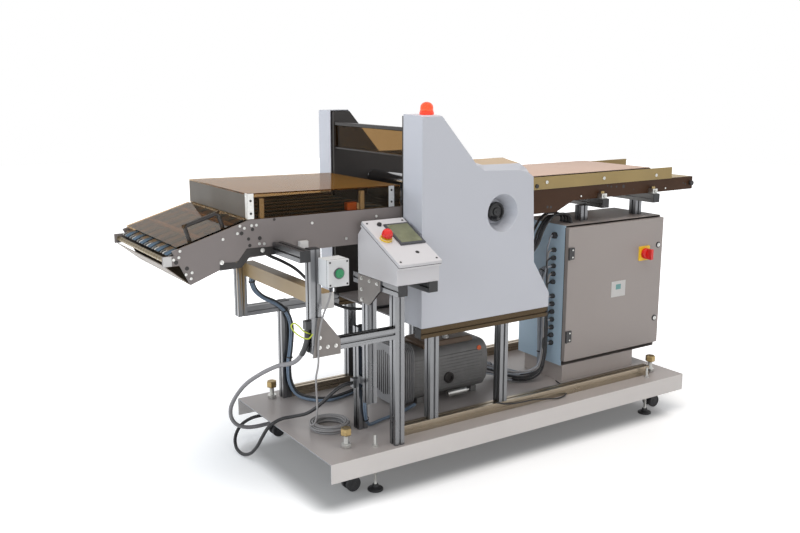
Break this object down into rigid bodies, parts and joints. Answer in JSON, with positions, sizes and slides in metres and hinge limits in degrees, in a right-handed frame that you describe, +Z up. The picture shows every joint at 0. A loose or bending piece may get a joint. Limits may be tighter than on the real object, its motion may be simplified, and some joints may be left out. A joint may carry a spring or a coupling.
{
  "type": "paper folding machine",
  "caption": "Free-standing paper folding machine: roller head in sheet covers, hooded belt delivery, feed table, console, control cabinet and vacuum pump on a wheeled tray.",
  "frame": {"origin": "middle of the machine's footprint, on the floor", "axes": "+X along the paper path from delivery to feed table, +Y to the back, +Z up"},
  "size_m": [2.6, 0.9314, 1.427],
  "materials": {
    "aluminium_profile": "anodised, satin",
    "bright_steel": "zinc plated or ground, satin",
    "wheel_rubber": "matte",
    "roller_rubber": "ground, matte",
    "tray_paint": "powder coat, satin",
    "cover_paint": "powder coat, fine texture",
    "cabinet_paint": "powder coat, fine texture",
    "console_paint": "powder coat, satin",
    "plate_paint": "powder coat, matte",
    "feed_metal": "dark anodised, satin",
    "smoked_plastic": "clear smoked sheet, polished",
    "black_plastic": "matte",
    "nose_metal": "turned, satin",
    "beacon_plastic": "clear lens, polished",
    "red_plastic": "polished",
    "green_plastic": "polished",
    "box_plastic": "fine texture",
    "belt_white": "matte, woven face",
    "pump_metal": "painted casting, matte",
    "cable_grey": "smooth, matte",
    "cable_black": "smooth, satin"
  },
  "bodies": {
    "machine": {"air_hose": "cable_black", "base_rail_back": "aluminium_profile", "base_rail_front": "aluminium_profile", "base_tray": "tray_paint", "beacon": "beacon_plastic", "cabinet": "cabinet_paint", "cabinet_loom": "cable_black", "cable_coil": "cable_grey", "cable_plug": "black_plastic", "console_back_post": "aluminium_profile", "console_box": "console_paint", "console_frame": "aluminium_profile", "console_post": "aluminium_profile", "delivery_bed": "plate_paint", "delivery_plate_far": "plate_paint", "delivery_plate_near": "plate_paint", "delivery_stand": "aluminium_profile", "far_cover": "cover_paint", "far_side_plate": "bright_steel", "feed_belt": "belt_white", "feed_plate_far": "feed_metal", "feed_plate_near": "feed_metal", "feed_stand": "aluminium_profile", "machine_deck": "plate_paint", "near_cover": "cover_paint", "near_side_plate": "bright_steel", "portal_back": "aluminium_profile", "portal_front": "aluminium_profile", "power_conduit": "cable_grey", "sensor_cable": "cable_grey", "start_box": "box_plastic", "start_stand": "aluminium_profile", "vacuum_pump": "pump_metal"},
    "foot_1": {"levelling_foot_1": "bright_steel"},
    "foot_2": {"levelling_foot_2": "bright_steel"},
    "foot_3": {"levelling_foot_3": "bright_steel"},
    "foot_4": {"levelling_foot_4": "bright_steel"},
    "caster_1": {"caster_housing_1": "bright_steel"},
    "wheels_1": {"caster_wheels_1": "wheel_rubber"},
    "caster_2": {"caster_housing_2": "bright_steel"},
    "wheels_2": {"caster_wheels_2": "wheel_rubber"},
    "caster_3": {"caster_housing_3": "bright_steel"},
    "wheels_3": {"caster_wheels_3": "wheel_rubber"},
    "caster_4": {"caster_housing_4": "bright_steel"},
    "wheels_4": {"caster_wheels_4": "wheel_rubber"},
    "upper_roller": {"fold_roller_upper": "bright_steel"},
    "lower_roller": {"fold_roller_lower": "roller_rubber"},
    "drive_wheel": {"handwheel": "black_plastic"},
    "nose": {"nose_roller": "nose_metal"},
    "end_roller": {"feed_end_roller": "black_plastic"},
    "guard": {"main_guard": "smoked_plastic"},
    "hood": {"delivery_hood": "smoked_plastic"},
    "lid": {"delivery_lid": "smoked_plastic"},
    "estop": {"estop_button": "red_plastic"},
    "reset": {"reset_button": "black_plastic"},
    "start": {"start_button": "green_plastic"},
    "door": {"cabinet_door": "cabinet_paint"},
    "main_switch": {"main_switch": "red_plastic"},
    "lock_1": {"door_lock_1": "bright_steel"},
    "lock_2": {"door_lock_2": "bright_steel"}
  },
  "joints": [
    {"name": "foot_1_screw", "type": "slide", "parent": "machine", "child": "foot_1", "axis": [0, 0, -1], "range_m": [0, 0.02]},
    {"name": "foot_2_screw", "type": "slide", "parent": "machine", "child": "foot_2", "axis": [0, 0, -1], "range_m": [0, 0.02]},
    {"name": "foot_3_screw", "type": "slide", "parent": "machine", "child": "foot_3", "axis": [0, 0, -1], "range_m": [0, 0.02]},
    {"name": "foot_4_screw", "type": "slide", "parent": "machine", "child": "foot_4", "axis": [0, 0, -1], "range_m": [0, 0.02]},
    {"name": "caster_1_swivel", "type": "hinge", "parent": "machine", "child": "caster_1", "pos_m": [-0.684, -0.29123, 0.031], "axis": [0, 0, 1], "continuous": true},
    {"name": "caster_1_roll", "type": "hinge", "parent": "caster_1", "child": "wheels_1", "pos_m": [-0.666, -0.29123, 0.031], "axis": [0, 1, 0], "continuous": true},
    {"name": "caster_2_swivel", "type": "hinge", "parent": "machine", "child": "caster_2", "pos_m": [0.945, -0.29123, 0.031], "axis": [0, 0, 1], "continuous": true},
    {"name": "caster_2_roll", "type": "hinge", "parent": "caster_2", "child": "wheels_2", "pos_m": [0.963, -0.29123, 0.031], "axis": [0, 1, 0], "continuous": true},
    {"name": "caster_3_swivel", "type": "hinge", "parent": "machine", "child": "caster_3", "pos_m": [-0.684, 0.34377, 0.031], "axis": [0, 0, 1], "continuous": true},
    {"name": "caster_3_roll", "type": "hinge", "parent": "caster_3", "child": "wheels_3", "pos_m": [-0.666, 0.34377, 0.031], "axis": [0, 1, 0], "continuous": true},
    {"name": "caster_4_swivel", "type": "hinge", "parent": "machine", "child": "caster_4", "pos_m": [0.945, 0.34377, 0.031], "axis": [0, 0, 1], "continuous": true},
    {"name": "caster_4_roll", "type": "hinge", "parent": "caster_4", "child": "wheels_4", "pos_m": [0.963, 0.34377, 0.031], "axis": [0, 1, 0], "continuous": true},
    {"name": "fold_roller_upper_spin", "type": "hinge", "parent": "machine", "child": "upper_roller", "pos_m": [-0.169, 0.07577, 1.0936], "axis": [0, 1, 0], "continuous": true},
    {"name": "fold_roller_lower_spin", "type": "hinge", "parent": "machine", "child": "lower_roller", "pos_m": [-0.169, 0.07577, 1.0324], "axis": [0, 1, 0], "continuous": true},
    {"name": "handwheel_spin", "type": "hinge", "parent": "machine", "child": "drive_wheel", "pos_m": [0.014, -0.25123, 0.996], "axis": [0, 1, 0], "continuous": true},
    {"name": "nose_roller_spin", "type": "hinge", "parent": "machine", "child": "nose", "pos_m": [-1.283, 0.09877, 0.92], "axis": [0, 1, 0], "continuous": true},
    {"name": "feed_end_roller_spin", "type": "hinge", "parent": "machine", "child": "end_roller", "pos_m": [1.284, 0.03877, 1.0225], "axis": [0, 1, 0], "continuous": true},
    {"name": "guard_hinge", "type": "hinge", "parent": "machine", "child": "guard", "pos_m": [-0.349, 0.07577, 1.323], "axis": [0, 1, 0], "range_deg": [0, 80]},
    {"name": "hood_hinge", "type": "hinge", "parent": "machine", "child": "hood", "pos_m": [-0.684, 0.37307, 1.0353], "axis": [-1, 0, 0], "range_deg": [0, 85]},
    {"name": "lid_hinge", "type": "hinge", "parent": "machine", "child": "lid", "pos_m": [-1.00371, 0.37307, 1.032], "axis": [-0.9591, 0, -0.2829], "range_deg": [0, 100]},
    {"name": "estop_press", "type": "slide", "parent": "machine", "child": "estop", "axis": [0, 0.4274, -0.904], "range_m": [0, 0.005]},
    {"name": "reset_press", "type": "slide", "parent": "machine", "child": "reset", "axis": [0, 0.4274, -0.904], "range_m": [0, 0.003], "stiffness_N_per_m": 400, "springref_m": -0.002},
    {"name": "start_press", "type": "slide", "parent": "machine", "child": "start", "axis": [0, 1, 0], "range_m": [0, 0.004], "stiffness_N_per_m": 400, "springref_m": -0.002},
    {"name": "cabinet_door_hinge", "type": "hinge", "parent": "machine", "child": "door", "pos_m": [0.487, -0.20123, 0.576], "axis": [0, 0, -1], "range_deg": [0, 120]},
    {"name": "main_switch_turn", "type": "hinge", "parent": "door", "child": "main_switch", "pos_m": [0.962, -0.21623, 0.718], "axis": [0, -1, 0], "range_deg": [0, 90]},
    {"name": "door_lock_1_turn", "type": "hinge", "parent": "door", "child": "lock_1", "pos_m": [1.057, -0.20423, 0.748], "axis": [0, -1, 0], "range_deg": [0, 90]},
    {"name": "door_lock_2_turn", "type": "hinge", "parent": "door", "child": "lock_2", "pos_m": [1.057, -0.20423, 0.395], "axis": [0, -1, 0], "range_deg": [0, 90]}
  ],
  "couplings": [
    {"joint": "fold_roller_lower_spin", "follows": "fold_roller_upper_spin", "ratio": -1},
    {"joint": "handwheel_spin", "follows": "fold_roller_upper_spin", "ratio": 1},
    {"joint": "nose_roller_spin", "follows": "fold_roller_upper_spin", "ratio": -3.3333},
    {"joint": "feed_end_roller_spin", "follows": "fold_roller_upper_spin", "ratio": -1.875}
  ]
}
